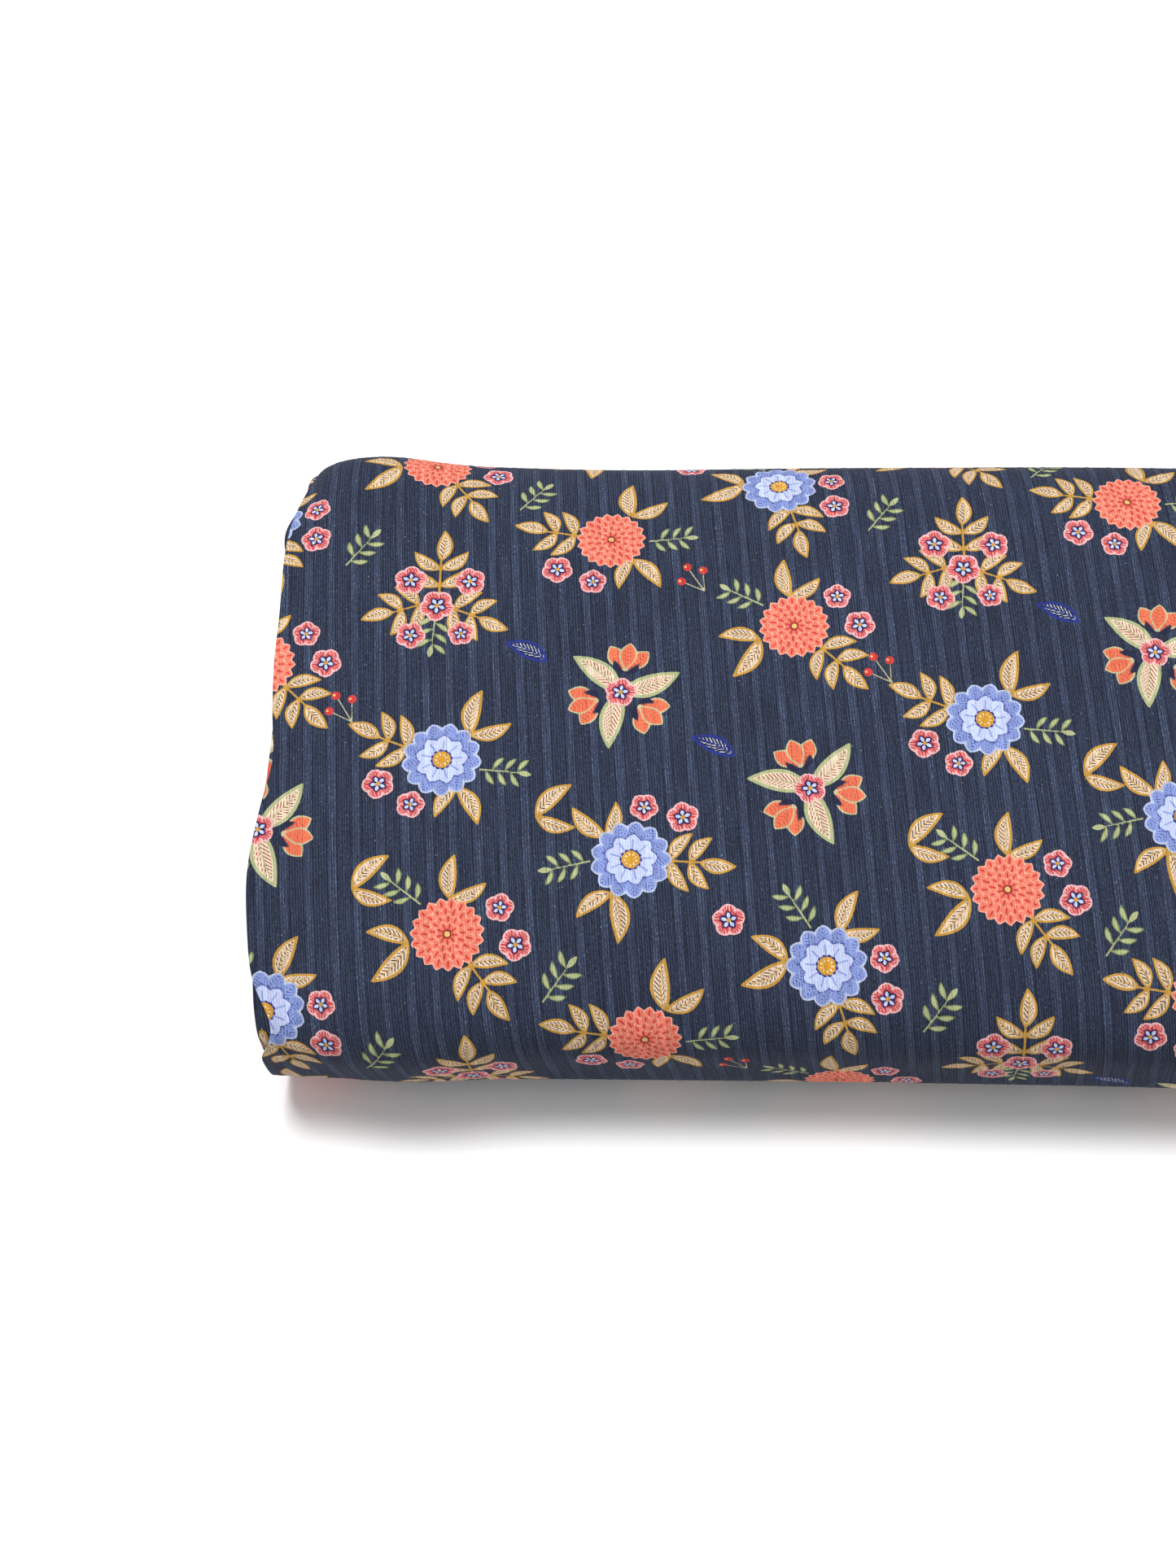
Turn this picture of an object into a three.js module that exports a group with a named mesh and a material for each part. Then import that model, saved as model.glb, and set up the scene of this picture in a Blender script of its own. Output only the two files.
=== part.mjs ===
// A bolt of cloth: a long piece of ribbed cloth, folded double and wound round a flat carton board.
// Millimetres. X runs along the bolt, Y across it (+Y is the far side), Z is up.
// The bolt lies flat, and its origin is the middle of its underside.
import * as THREE from 'three';

// The wound cloth.
const boltLength = 560;          // width of the cloth once it is folded double
const boltWidth = 260;
const boltHeight = 90;
const lastTurnThickness = 1.4;   // two plies, pressed together
const turnGap = 0.3;             // air between one group of turns and the next
const turnGroups = [             // groups of turns under the last one, from the board outwards
  { name: 'inner_turns', recess: 3, share: 1 },
  { name: 'middle_turns', recess: 1.8, share: 1 },
  { name: 'outer_turns', recess: 0.8, share: 1 },
];

// The outline of the wound cloth: flats in the middle of each side, and rounded quarters between.
const topFlatHalf = 12;
const undersideFlatHalf = 60;
const sideFlatHalf = 4;
const upperRoundness = 3.2;      // power of the upper quarters' superellipse: 2 is an ellipse
const lowerRoundness = 3.4;
const stepsPerQuarter = 12;
const shortestStep = 0.6;        // degrees of turn between two points

// The free end of the cloth: where it leaves the wound cloth, and where its edge lies.
const freeEndRootAngle = 35;     // degrees, the surface's normal above the far horizontal
const freeEndEdgeAngle = -62;
const freeEndSplitAngle = 1;     // the slit at the root and at the edge

// The board.
const boardLength = 546;
const boardWidth = 203;
const boardThickness = 25;
const boardCornerRadius = 3;
const cardWall = 1.6;
const pocketClearance = 0.4;     // between the board and the first turn
const cardClearance = 0.3;       // between two pieces of card

// The board's ribs, card channels that keep its two faces apart.
const ribCount = 3;
const ribFlange = 18;
const ribSpacing = 54;

// The flaps at the board's ends.
const dustFlapWidth = 46;

// Materials.
function material(colour, roughness) {
  return new THREE.MeshStandardMaterial({ color: colour, roughness, metalness: 0 });
}
const outerCloth = material(0x3c4254, 0.85);
const innerCloth = material(0x46495a, 0.9);
const kraftCard = material(0xb9966a, 0.8);

const boardMiddle = boltHeight / 2;
const clothLayers = boltHeight / 2 - boardThickness / 2;

// A point of a rounded quarter, by the angle of its normal: flats first, then a superellipse.
function quarterPoint(angle, halfY, halfZ, flatY, flatZ, roundness) {
  const spanY = halfY - flatY;
  const spanZ = halfZ - flatZ;
  if (angle <= 0) return [halfY, flatZ];
  if (angle >= Math.PI / 2) return [flatY, halfZ];
  const turn = Math.atan((Math.tan(angle) * spanZ / spanY) ** (1 / (2 - 2 / roundness)));
  return [
    flatY + spanY * Math.cos(turn) ** (2 / roundness),
    flatZ + spanZ * Math.sin(turn) ** (2 / roundness),
  ];
}

// The pocket that the board lies in is a rectangle with round corners.
function pocketPoint(angle) {
  const halfY = boardWidth / 2 + pocketClearance;
  const halfZ = boardThickness / 2 + pocketClearance;
  const radius = boardCornerRadius;
  return quarterPoint(angle, halfY, halfZ, halfY - radius, halfZ - radius, 2);
}

function outsidePoint(angle, upper) {
  const flatY = upper ? topFlatHalf : undersideFlatHalf;
  const roundness = upper ? upperRoundness : lowerRoundness;
  return quarterPoint(angle, boltWidth / 2, boltHeight / 2, flatY, sideFlatHalf, roundness);
}

// A point of the winding. Level 0 is the pocket and level 1 the outside. Quarters count from the
// upper far one, and degrees run from the far side over the top.
function windingPoint(level, quarter, degrees) {
  const inQuarter = THREE.MathUtils.degToRad(degrees - quarter * 90);
  const flipped = quarter % 2 !== 0;
  const angle = flipped ? Math.PI / 2 - inQuarter : inQuarter;
  const wrapped = ((quarter % 4) + 4) % 4;
  const upper = wrapped < 2;
  const signY = wrapped === 0 || wrapped === 3 ? 1 : -1;
  const signZ = upper ? 1 : -1;
  const inside = pocketPoint(angle);
  const outside = outsidePoint(angle, upper);
  return new THREE.Vector2(
    signY * THREE.MathUtils.lerp(inside[0], outside[0], level),
    boardMiddle + signZ * THREE.MathUtils.lerp(inside[1], outside[1], level),
  );
}

// The winding's points at one level from one angle to another. The steps are short next to the
// flats, where the outline bends least.
function windingLine(level, fromDegrees, toDegrees) {
  const points = [];
  const firstQuarter = Math.floor(fromDegrees / 90);
  for (let quarter = firstQuarter; quarter * 90 < toDegrees; quarter += 1) {
    const start = Math.max(fromDegrees, quarter * 90);
    const end = Math.min(toDegrees, (quarter + 1) * 90);
    points.push(windingPoint(level, quarter, start));
    for (let i = 1; i < stepsPerQuarter; i += 1) {
      const degrees = (quarter + (1 - Math.cos((Math.PI * i) / stepsPerQuarter)) / 2) * 90;
      if (degrees > start + shortestStep && degrees < end - shortestStep) {
        points.push(windingPoint(level, quarter, degrees));
      }
    }
    points.push(windingPoint(level, quarter, end));
  }
  return points;
}

// How thick the wound cloth is where it is thinnest, square to its surface.
function thinnestLayers() {
  let thinnest = clothLayers;
  for (let degrees = 0; degrees <= 90; degrees += 5) {
    const angle = THREE.MathUtils.degToRad(degrees);
    for (const upper of [true, false]) {
      const inside = pocketPoint(angle);
      const outside = outsidePoint(angle, upper);
      const thickness = (outside[0] - inside[0]) * Math.cos(angle)
        + (outside[1] - inside[1]) * Math.sin(angle);
      thinnest = Math.min(thinnest, thickness);
    }
  }
  return thinnest;
}
const gapLevel = turnGap / thinnestLayers();
const lastTurnLevel = 1 - lastTurnThickness / (clothLayers - pocketClearance);

// A section drawn across the bolt, in Y and Z, drawn out along X about the bolt's middle.
function alongBolt(shape, length, surface, name) {
  const geometry = new THREE.ExtrudeGeometry(shape, { depth: length, bevelEnabled: false });
  geometry.translate(0, 0, -length / 2);
  const mesh = new THREE.Mesh(geometry, surface);
  mesh.quaternion.setFromRotationMatrix(new THREE.Matrix4().makeBasis(
    new THREE.Vector3(0, 1, 0),
    new THREE.Vector3(0, 0, 1),
    new THREE.Vector3(1, 0, 0),
  ));
  mesh.name = name;
  return mesh;
}

function box(sizeX, sizeY, sizeZ, x, y, z, surface, name) {
  const mesh = new THREE.Mesh(new THREE.BoxGeometry(sizeX, sizeY, sizeZ), surface);
  mesh.position.set(x, y, z);
  mesh.name = name;
  return mesh;
}

// A group of whole turns is a ring round everything inside it.
function turnRing(innerLevel, outerLevel, length, name) {
  const shape = new THREE.Shape(windingLine(outerLevel, 0, 360));
  shape.holes.push(new THREE.Path(windingLine(innerLevel, 0, 360)));
  return alongBolt(shape, length, innerCloth, name);
}

function innerRings() {
  const rings = new THREE.Group();
  const shares = turnGroups.reduce((total, group) => total + group.share, 0);
  let level = 0;
  for (const group of turnGroups) {
    const outerLevel = level + (lastTurnLevel * group.share) / shares;
    const length = boltLength - 2 * group.recess;
    rings.add(turnRing(level, outerLevel - gapLevel, length, group.name));
    level = outerLevel;
  }
  return rings;
}

// A stretch of the last turn, from one angle to another.
function lastTurnStretch(fromDegrees, toDegrees, name) {
  const outside = windingLine(1, fromDegrees, toDegrees);
  const inside = windingLine(lastTurnLevel, fromDegrees, toDegrees).reverse();
  return alongBolt(new THREE.Shape([...outside, ...inside]), boltLength, outerCloth, name);
}

function lastTurn() {
  const turn = new THREE.Group();
  const slit = freeEndSplitAngle / 2;
  turn.add(lastTurnStretch(freeEndRootAngle + slit, 360 + freeEndEdgeAngle - slit, 'last_turn'));
  turn.add(lastTurnStretch(freeEndEdgeAngle + slit, freeEndRootAngle - slit, 'free_end'));
  return turn;
}

function roundedRectangle(halfY, halfZ, radius) {
  const corners = [[1, 1, 0], [-1, 1, 90], [-1, -1, 180], [1, -1, 270]];
  const points = [];
  const steps = 4;
  for (const [signY, signZ, start] of corners) {
    for (let i = 0; i <= steps; i += 1) {
      const angle = THREE.MathUtils.degToRad(start + (90 * i) / steps);
      points.push(new THREE.Vector2(
        signY * (halfY - radius) + radius * Math.cos(angle),
        boardMiddle + signZ * (halfZ - radius) + radius * Math.sin(angle),
      ));
    }
  }
  return points;
}

const sleeveInnerRadius = Math.max(boardCornerRadius - cardWall, boardCornerRadius / 4);
const sleeveInnerHeight = boardThickness - 2 * cardWall;
const ribHeight = sleeveInnerHeight - 2 * cardClearance;

function boardSleeve() {
  const halfY = boardWidth / 2;
  const halfZ = boardThickness / 2;
  const shape = new THREE.Shape(roundedRectangle(halfY, halfZ, boardCornerRadius));
  shape.holes.push(new THREE.Path(
    roundedRectangle(halfY - cardWall, halfZ - cardWall, sleeveInnerRadius),
  ));
  return alongBolt(shape, boardLength, kraftCard, 'board_sleeve');
}

// A rib is a channel of folded card that runs between the dust flaps.
function boardRib(y, name) {
  const halfZ = ribHeight / 2;
  const corners = [
    [0, -halfZ], [ribFlange, -halfZ], [ribFlange, -halfZ + cardWall], [cardWall, -halfZ + cardWall],
    [cardWall, halfZ - cardWall], [ribFlange, halfZ - cardWall], [ribFlange, halfZ], [0, halfZ],
  ];
  const points = corners.map(([across, up]) => new THREE.Vector2(
    y - ribFlange / 2 + across,
    boardMiddle + up,
  ));
  const endRoom = cardWall + 2 * cardClearance;
  return alongBolt(new THREE.Shape(points), boardLength - 2 * endRoom, kraftCard, name);
}

function boardRibs() {
  const ribs = new THREE.Group();
  for (let i = 0; i < ribCount; i += 1) {
    ribs.add(boardRib((i - (ribCount - 1) / 2) * ribSpacing, `board_rib_${i + 1}`));
  }
  return ribs;
}

// Dust flaps are folded in from the board's long edges, just inside its mouth.
function dustFlap(end, side, name) {
  const x = end * (boardLength / 2 - cardClearance - cardWall / 2);
  const y = side * (boardWidth / 2 - cardWall - sleeveInnerRadius - dustFlapWidth / 2);
  return box(cardWall, dustFlapWidth, ribHeight, x, y, boardMiddle, kraftCard, name);
}

// The closing flap covers the board's mouth and hangs from a crease under its upper face.
function closingFlap(end, name) {
  const x = end * (boardLength / 2 + cardClearance + cardWall / 2);
  const top = boardMiddle + boardThickness / 2 - cardWall;
  const bottom = boardMiddle - boardThickness / 2 + cardClearance;
  const width = boardWidth - 2 * boardCornerRadius;
  return box(cardWall, width, top - bottom, x, 0, (top + bottom) / 2, kraftCard, name);
}

function boardFlaps() {
  const flaps = new THREE.Group();
  for (const [end, endName] of [[-1, 'left'], [1, 'right']]) {
    flaps.add(dustFlap(end, -1, `${endName}_near_dust_flap`));
    flaps.add(dustFlap(end, 1, `${endName}_far_dust_flap`));
    flaps.add(closingFlap(end, `${endName}_closing_flap`));
  }
  return flaps;
}

const bolt = new THREE.Group();
bolt.add(innerRings(), lastTurn(), boardSleeve(), boardRibs(), boardFlaps());

export default bolt;
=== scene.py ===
"""A bolt of printed ribbed cloth: one long piece, folded double and wound round a folding card board."""

import math

import bpy
import numpy as np
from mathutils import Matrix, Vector


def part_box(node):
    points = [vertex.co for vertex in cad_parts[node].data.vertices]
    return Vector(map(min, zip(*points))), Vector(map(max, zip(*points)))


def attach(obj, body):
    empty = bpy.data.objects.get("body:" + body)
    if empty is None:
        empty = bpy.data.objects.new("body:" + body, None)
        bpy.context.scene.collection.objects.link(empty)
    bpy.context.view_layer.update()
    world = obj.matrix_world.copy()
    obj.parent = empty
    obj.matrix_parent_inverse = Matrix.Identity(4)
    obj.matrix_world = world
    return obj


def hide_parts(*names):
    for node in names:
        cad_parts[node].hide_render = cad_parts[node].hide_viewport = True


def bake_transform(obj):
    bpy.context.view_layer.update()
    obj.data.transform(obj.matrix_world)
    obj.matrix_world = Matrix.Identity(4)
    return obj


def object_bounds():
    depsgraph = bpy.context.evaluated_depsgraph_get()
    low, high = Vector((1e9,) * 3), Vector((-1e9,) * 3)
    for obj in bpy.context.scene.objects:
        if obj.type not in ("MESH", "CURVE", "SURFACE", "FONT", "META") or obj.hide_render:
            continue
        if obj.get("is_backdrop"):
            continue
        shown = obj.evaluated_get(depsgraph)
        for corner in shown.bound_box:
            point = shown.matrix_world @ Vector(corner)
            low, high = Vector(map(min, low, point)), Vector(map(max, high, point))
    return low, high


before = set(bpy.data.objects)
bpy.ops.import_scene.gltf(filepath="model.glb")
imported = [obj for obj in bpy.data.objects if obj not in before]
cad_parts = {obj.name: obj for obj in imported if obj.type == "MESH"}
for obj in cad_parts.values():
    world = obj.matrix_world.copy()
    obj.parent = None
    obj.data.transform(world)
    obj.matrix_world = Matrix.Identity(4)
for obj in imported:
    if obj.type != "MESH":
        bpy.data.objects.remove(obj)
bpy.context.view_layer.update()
MM = 0.001


# ------------------------------------------------------------------------------------------------
# The camera.

CAMERA_PLACE = (-0.0837, -0.3567, 0.8529)
CAMERA_TURN = (23.26, -0.04, 0.76)      # degrees about X, Y and Z
CAMERA_LENS = 49.2
CAMERA_SHIFT = -0.1104


def make_camera():
    camera = bpy.data.objects.new("camera", bpy.data.cameras.new("camera"))
    bpy.context.scene.collection.objects.link(camera)
    camera.location = CAMERA_PLACE
    camera.rotation_euler = [math.radians(turn) for turn in CAMERA_TURN]
    camera.data.lens = CAMERA_LENS
    camera.data.shift_x = CAMERA_SHIFT
    bpy.context.scene.camera = camera


make_camera()


# ------------------------------------------------------------------------------------------------
# The print: one repeat of a plain mixed floral, painted as layers of ink. Its motifs and where they
# stand are generic, not the photograph's. Each layer holds the distance in millimetres to the edge
# of its ink (positive inside) and the ink's colour, so that its edges stay sharp.

REPEAT = 213.0             # mm, along s and along t
DOT = 0.25                 # mm between two samples of the repeat
LAYERS = 4                 # 0 grounds and outlines, 1 fills, 2 strokes, 3 hearts and dots
REACH = 2.0                # mm, the furthest distance that a layer holds
STAMP_RADIUS = 32.0        # mm, further than any motif reaches from where it stands

DOTS = round(REPEAT / DOT)
ink_distance = np.full((LAYERS, DOTS, DOTS), -REACH, np.float32)
ink_colour = np.zeros((LAYERS, DOTS, DOTS, 3), np.float32)

GOLD = (190, 145, 64)
GOLD_PALE = (222, 190, 116)
OCHRE = (206, 150, 52)
CREAM = (228, 202, 172)
LEAF_CREAM = (230, 210, 184)
SILVER = (190, 196, 200)
IVORY = (232, 224, 196)
PINK = (232, 178, 180)
BLUSH = (240, 172, 152)
CORAL = (234, 124, 102)
ORANGE = (224, 116, 84)
RED = (196, 62, 60)
DEEP_RED = (150, 44, 48)
OLIVE = (188, 182, 142)
GREEN = (122, 134, 90)
LIGHT_GREEN = (172, 178, 132)
FROST = (180, 191, 220)
PALE_BLUE = (192, 202, 238)
MID_BLUE = (136, 152, 208)
ROYAL = (42, 54, 132)
NAVY = (30, 34, 78)
INK_BLUE = (38, 42, 66)


class Stamp:
    """The part of the repeat round a motif, in the motif's own axes, where the motif stands at
    (0, 0) and points to +y."""

    def __init__(self, s, t, turn, size):
        reach = STAMP_RADIUS * size + REACH
        columns = np.arange(math.floor((s - reach) / DOT), math.ceil((s + reach) / DOT) + 1)
        rows = np.arange(math.floor((t - reach) / DOT), math.ceil((t + reach) / DOT) + 1)
        across, along = np.meshgrid(columns * DOT - s, rows * DOT - t)
        cosine, sine = math.cos(math.radians(turn)), math.sin(math.radians(turn))
        self.x = (across * cosine + along * sine) / size
        self.y = (along * cosine - across * sine) / size
        self.size = size
        self.window = np.ix_(range(LAYERS), rows % DOTS, columns % DOTS)
        self.distance = ink_distance[self.window]
        self.colour = ink_colour[self.window]

    def ink(self, layer, inside, colour):
        """Lays ink where inside > 0, over what is there."""
        inside = inside * self.size
        held = self.distance[layer]
        taken = (inside > 0) | (inside > held)
        self.colour[layer][taken] = colour
        self.distance[layer] = np.clip(np.maximum(held, inside), -REACH, REACH)
        for upper in range(layer + 1, LAYERS):
            self.distance[upper] = np.minimum(self.distance[upper], np.maximum(-inside, -REACH))

    def press(self):
        ink_distance[self.window] = self.distance
        ink_colour[self.window] = self.colour


def disc(stamp, x, y, radius):
    return radius - np.hypot(stamp.x - x, stamp.y - y)


def polar(stamp):
    """Distance from the middle, and the angle from +y in radians."""
    return np.hypot(stamp.x, stamp.y), np.arctan2(stamp.x, stamp.y)


def leaf_axes(stamp, base, tip, bend=0.0):
    """Along a leaf from 0 at its base to 1 at its tip, its length, and the distance from its midrib."""
    reach_x, reach_y = tip[0] - base[0], tip[1] - base[1]
    length = math.hypot(reach_x, reach_y)
    from_x, from_y = stamp.x - base[0], stamp.y - base[1]
    along = (from_x * reach_x + from_y * reach_y) / length ** 2
    across = (from_x * reach_y - from_y * reach_x) / length
    inside = np.clip(along, 0, 1.05)
    return along, length, across - bend * 4 * inside * (1 - inside)


def ring_axes(stamp, count, near, far, shift=0.0):
    """The same for an even ring of petals: each point belongs to the petal that it is nearest to."""
    distance, angle = polar(stamp)
    step = 2 * math.pi / count
    phase = angle / step - shift
    off_axis = (phase - np.round(phase)) * step
    return (distance * np.cos(off_axis) - near) / (far - near), far - near, distance * np.sin(off_axis)


def leaf(axes, width, belly=0.45, blunt=0.85):
    """Distance inside a leaf or petal that is widest at belly."""
    along, length, across = axes
    inside = np.clip(along, 0, 1)
    half = width / 2 * np.sin(np.pi * inside ** (math.log(0.5) / math.log(belly))) ** blunt
    return np.minimum(half - np.abs(across), np.minimum(along, 1 - along) * length + 0.15)


def petal(stamp, base, tip, width, bend=0.0):
    return leaf(leaf_axes(stamp, base, tip, bend), width, 0.55)


def midrib(axes, width, start, end):
    """A line along a leaf's middle, between two shares of its length."""
    along, length, across = axes
    return np.minimum(width / 2 - np.abs(across), np.minimum(along - start, end - along) * length)


def hatching(axes, pitch, width, slope):
    """Strokes that leave the midrib towards the tip."""
    along, length, across = axes
    phase = (along * length - np.abs(across) * slope) / pitch
    return width / 2 - np.abs(phase - np.round(phase)) * pitch


def stroke(stamp, start, end, width, end_width=None):
    reach_x, reach_y = end[0] - start[0], end[1] - start[1]
    from_x, from_y = stamp.x - start[0], stamp.y - start[1]
    along = np.clip((from_x * reach_x + from_y * reach_y) / (reach_x ** 2 + reach_y ** 2), 0, 1)
    half = width / 2 + along * ((width if end_width is None else end_width) - width) / 2
    return half - np.hypot(from_x - along * reach_x, from_y - along * reach_y)


def rays(distance, angle, count, near, far, width, far_width):
    """Evenly spaced rays between two circles."""
    step = 2 * math.pi / count
    phase = angle / step
    off_axis = np.abs(phase - np.round(phase)) * step * distance
    share = np.clip((distance - near) / (far - near), 0, 1)
    half = width / 2 + share * (far_width - width) / 2
    return np.minimum(half - off_axis, np.minimum(distance - near, far - distance))


def at(angle, distance, x=0.0, y=0.0):
    """The point at that angle from +y, in degrees, and that distance."""
    return x + distance * math.sin(math.radians(angle)), y + distance * math.cos(math.radians(angle))


def daisy(stamp):
    """A round blue flower of two rings of petals, 31 mm across."""
    axes = ring_axes(stamp, 13, 2.0, 15.6)
    shape = leaf(axes, 7.4, 0.68, 0.6)
    stamp.ink(0, shape, FROST)
    stamp.ink(1, shape - 0.9, MID_BLUE)
    stamp.ink(2, np.minimum(shape - 1.2, hatching(axes, 1.5, 0.5, 0.9)), ROYAL)
    axes = ring_axes(stamp, 9, 1.0, 10.2, 0.5)
    shape = leaf(axes, 5.8, 0.64, 0.7)
    stamp.ink(1, shape + 0.5, ROYAL)
    stamp.ink(2, shape, PALE_BLUE)
    stamp.ink(3, midrib(axes, 0.7, 0.3, 0.8), MID_BLUE)
    distance, angle = polar(stamp)
    stamp.ink(1, 4.2 + 0.25 * np.sin(angle * 12) - distance, ROYAL)
    stamp.ink(2, 3.5 - distance, OCHRE)
    stamp.ink(3, rays(distance, angle, 9, 1.6, 2.8, 0.6, 0.6), IVORY)


def pompon(stamp):
    """A round coral flower of four rings of pointed petals, 28 mm across."""
    rings = ((19, 14.2, 4.6, 0), (17, 11.2, 4.2, 0.5), (13, 8.2, 4.0, 0), (9, 5.4, 3.6, 0.5))
    for count, far, width, shift in rings:
        axes = ring_axes(stamp, count, far - 7.5, far, shift)
        shape = leaf(axes, width, 0.6)
        stamp.ink(0, np.maximum(shape, disc(stamp, 0, 0, far - 3)), BLUSH)
        stamp.ink(1, np.maximum(shape - 0.55, disc(stamp, 0, 0, far - 3.8)), CORAL)
        stamp.ink(2, midrib(axes, 0.8, 0.35, 0.82), RED)
    stamp.ink(1, disc(stamp, 0, 0, 2.0), DEEP_RED)
    stamp.ink(2, disc(stamp, 0, 0, 1.1), GOLD_PALE)


def blossom(stamp):
    """A pink flower of five round petals, 13 mm across."""
    shape = leaf(ring_axes(stamp, 5, 0, 6.7), 6.6, 0.62, 0.55)
    distance, angle = polar(stamp)
    stamp.ink(0, shape, PINK)
    stamp.ink(1, np.minimum(shape - 0.8, rays(distance, angle, 30, 1.0, 6.2, 0.3, 0.75)), RED)
    stamp.ink(1, leaf(ring_axes(stamp, 5, 0, 3.9), 2.9, 0.55), NAVY)
    stamp.ink(2, leaf(ring_axes(stamp, 5, 0.6, 3.3), 1.5, 0.55), PALE_BLUE)
    stamp.ink(3, disc(stamp, 0, 0, 0.9), OCHRE)


def tulip(stamp):
    """An orange flower of three upright petals, 17 mm across."""
    for turn in (-38, 38, 0):
        axes = leaf_axes(stamp, (0, -5), at(turn, 13.5, 0, -5))
        shape = leaf(axes, 7.6, 0.58)
        stamp.ink(0, shape, OLIVE)
        stamp.ink(1, shape - 0.75, ORANGE)
        stamp.ink(2, np.minimum(shape - 1.3, hatching(axes, 1.7, 0.5, 0.5)), RED)
    for side in (-1, 1):
        stamp.ink(1, petal(stamp, (0, -5.6), (5.4 * side, -0.4), 3.0, 1.2 * side), INK_BLUE)


def veined_leaf(stamp, base, tip, width, bend, rim, middle, vein):
    """A leaf with a rim, a paler or darker middle, and side veins that leave its midrib."""
    axes = leaf_axes(stamp, base, tip, bend)
    shape = leaf(axes, width)
    stamp.ink(0, shape, rim)
    stamp.ink(1, shape - 0.15 * width, middle)
    stamp.ink(2, np.minimum(shape - 0.17 * width, hatching(axes, 1.8, 0.75, 1.2)), vein)
    stamp.ink(3, midrib(axes, 0.6, 0.0, 0.85), rim)


def gold_sprig(stamp):
    """Five gold leaves along a stalk, 32 mm long."""
    stamp.ink(0, stroke(stamp, (0, -5), (0, 15), 1.0, 0.7), GOLD)
    for y, reach in ((0, 12.5), (8, 11)):
        for side in (-1, 1):
            veined_leaf(stamp, (0, y), (reach * side, y + 8.5), 5.8, 1.5 * side, GOLD, CREAM, INK_BLUE)
    veined_leaf(stamp, (0, 12), (0.8, 27), 6.6, 0.8, GOLD, CREAM, INK_BLUE)


def gold_pair(stamp):
    """Two gold leaves from one point, 20 mm long."""
    veined_leaf(stamp, (0, 0), (-7, 19), 7.6, -2.0, GOLD, CREAM, INK_BLUE)
    veined_leaf(stamp, (0, 0), (11, 13), 6.4, 1.8, GOLD, CREAM, INK_BLUE)


def cream_leaf(stamp):
    """A cream leaf with red veins, 25 mm long."""
    veined_leaf(stamp, (0, 0), (0, 25), 9.5, 1.4, LIGHT_GREEN, LEAF_CREAM, DEEP_RED)


def blue_leaf(stamp):
    """A dark blue leaf with silver veins, 20 mm long."""
    veined_leaf(stamp, (0, -9), (0, 11), 8.0, 1.2, ROYAL, NAVY, SILVER)


def green_sprig(stamp):
    """Small green leaves on either side of a stalk, 22 mm long."""
    stamp.ink(0, stroke(stamp, (0, -2), (0, 16), 0.8, 0.5), LIGHT_GREEN)
    for index in range(6):
        side = (-1) ** index
        y = 0.5 + 2.7 * index
        for layer, inset, colour in ((0, 0, GREEN), (1, 0.42, LIGHT_GREEN)):
            stamp.ink(layer, petal(stamp, (0, y), (6.6 * side, y + 4.6), 2.5, 0.6 * side) - inset, colour)
    stamp.ink(0, petal(stamp, (0, 14), (0.5, 20.5), 2.5), LIGHT_GREEN)


def berries(stamp):
    """Three red berries on thin stalks, 16 mm long."""
    for turn, far in ((-34, 9.5), (3, 12.5), (36, 9)):
        x, y = at(turn, far)
        stamp.ink(0, stroke(stamp, (0, -1.5), (x, y), 0.5), OLIVE)
        stamp.ink(1, disc(stamp, x, y, 1.9), RED)
        stamp.ink(2, disc(stamp, x - 0.5, y + 0.6, 0.6), GOLD_PALE)


# In a bunch each motif has its place from the bunch's middle in millimetres, the way it points in
# degrees (0 is up and 90 is to the left), and its size.
def round_bunch(flower):
    """A bunch of gold leaves and blossoms round one flower."""
    return (
        (gold_sprig, -12, 9, 52, 0.95), (gold_pair, 13, 7, -48, 1.0), (gold_pair, 3, -13, 172, 0.9),
        (green_sprig, 15, -9, -112, 0.9), (blossom, -26, -3, 10, 0.95), (blossom, -16, -15, 40, 0.85),
        (flower, 0, 0, 0, 1.0),
    )


BLOSSOM_BUNCH = (
    (gold_sprig, 0, 6, 4, 1.0), (gold_sprig, -7, -3, 112, 0.9), (gold_sprig, 7, -4, -108, 0.9),
    (green_sprig, 0, -8, 180, 0.9), (blossom, -12, 8, 0, 1.0), (blossom, 12, 9, 20, 0.95),
    (blossom, 0, -3, 36, 1.05), (blossom, -9, -17, 50, 0.9), (blossom, 11, -15, 10, 0.8),
)
TULIP_BUNCH = (
    (cream_leaf, 0, 0, 60, 1.0), (cream_leaf, 0, 0, 180, 1.0), (cream_leaf, 0, 0, -60, 1.0),
    (tulip, 0, 14, 0, 0.95), (tulip, -12, -7, 120, 0.95), (tulip, 12, -7, -120, 0.95),
    (blossom, 0, 0, 0, 0.95),
)

# The bunches stand on a grid of three columns and three rows, and each column starts a third of a
# step higher than the last. Small motifs fill the gaps.
STEP = REPEAT / 3
BUNCHES = (
    (round_bunch(daisy), BLOSSOM_BUNCH, round_bunch(pompon)),
    (TULIP_BUNCH, round_bunch(pompon), round_bunch(daisy)),
    (round_bunch(pompon), round_bunch(daisy), TULIP_BUNCH),
)
BUNCH_TURNS = ((12, -8, 160), (-14, 24, -150), (170, 140, 16))
GAP = (0.5, 0.62)          # shares of a step from each bunch
FILLERS = ((blue_leaf, 60), (green_sprig, -40), (gold_pair, -70), (berries, 30), (blossom, 0))


def place_motif(motif, s, t, turn, size):
    stamp = Stamp(s, t, turn, size)
    motif(stamp)
    stamp.press()


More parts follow.
